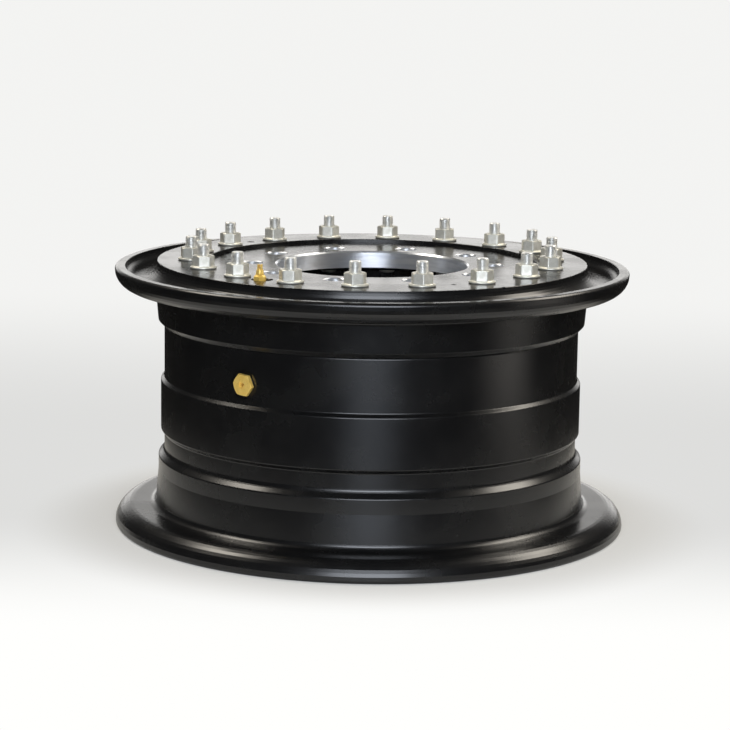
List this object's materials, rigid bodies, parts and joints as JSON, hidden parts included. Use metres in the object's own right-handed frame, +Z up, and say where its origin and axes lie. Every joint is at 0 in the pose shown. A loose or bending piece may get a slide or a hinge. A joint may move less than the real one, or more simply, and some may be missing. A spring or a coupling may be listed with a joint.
{
  "type": "split rim wheel",
  "caption": "Split truck wheel for a tubeless tyre: a flanged barrel with a thick flat disc, and a removable outboard flange clamped down by a ring of studs and nuts, with a brass valve.",
  "frame": {"origin": "on the floor under the wheel's axis, with the wheel lying on its inboard lip", "axes": "+Z up the wheel's axis, towards the outboard face with the nuts; -Y towards the side that faces the picture's camera"},
  "size_m": [0.61, 0.61, 0.3445],
  "materials": {
    "rim_paint": "semi-gloss black coating, bare turned metal in the hub bore and the bolt holes",
    "stud_steel": "zinc-plated thread with a cut end",
    "zinc_nut": "zinc plating with a faint yellow tint",
    "brass": "machined brass, satin",
    "black_rubber": "matt black rubber"
  },
  "bodies": {
    "root": {"inner_rim": "rim_paint", "outer_rim": "rim_paint", "rim_seal": "black_rubber", "clamp_studs": "stud_steel", "clamp_nuts": "zinc_nut", "valve_body": "brass", "valve_seal": "black_rubber", "valve_core": "brass", "valve_cap": "brass", "valve_lock_nut": "brass", "valve_pipe": "brass", "valve_elbow": "brass", "barrel_fitting": "brass", "fitting_seal": "black_rubber"}
  },
  "joints": []
}
